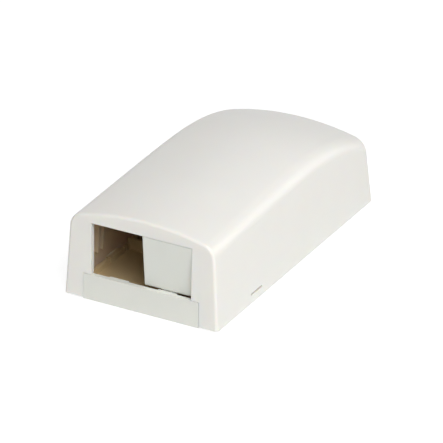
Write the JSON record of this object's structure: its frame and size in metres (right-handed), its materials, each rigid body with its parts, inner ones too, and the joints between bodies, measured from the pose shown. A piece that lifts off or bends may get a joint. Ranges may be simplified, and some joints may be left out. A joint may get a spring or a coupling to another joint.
{
  "type": "surface mount jack box",
  "caption": "Low surface mount box for snap-in jack modules: crowned clip-on cover, screw-down base, one open port and one blanked port.",
  "frame": {"origin": "middle of the box's footprint, on the surface it is stuck or screwed to", "axes": "+X to the right seen from the ports, +Y from the ports' face back along the box, +Z away from the mounting surface"},
  "size_m": [0.0494, 0.0952, 0.0304],
  "materials": {
    "cover_abs": "injection-moulded ABS, gloss, off-white",
    "base_abs": "injection-moulded ABS, satin gloss, off-white",
    "blank_abs": "injection-moulded ABS, satin gloss, off-white",
    "foam": "closed-cell foam tape",
    "liner": "siliconised release film"
  },
  "bodies": {
    "base": {"base": "base_abs", "foam_strip_left": "foam", "foam_strip_right": "foam", "strip_liner_left": "liner", "strip_liner_right": "liner"},
    "cover": {"cover": "cover_abs"},
    "blank": {"port_blank": "blank_abs"}
  },
  "joints": [
    {"name": "cover_lift", "type": "slide", "parent": "base", "child": "cover", "axis": [0, 0, 1], "range_m": [0, 0.036]},
    {"name": "blank_pull", "type": "slide", "parent": "base", "child": "blank", "axis": [0, -1, 0], "range_m": [0, 0.03]}
  ]
}
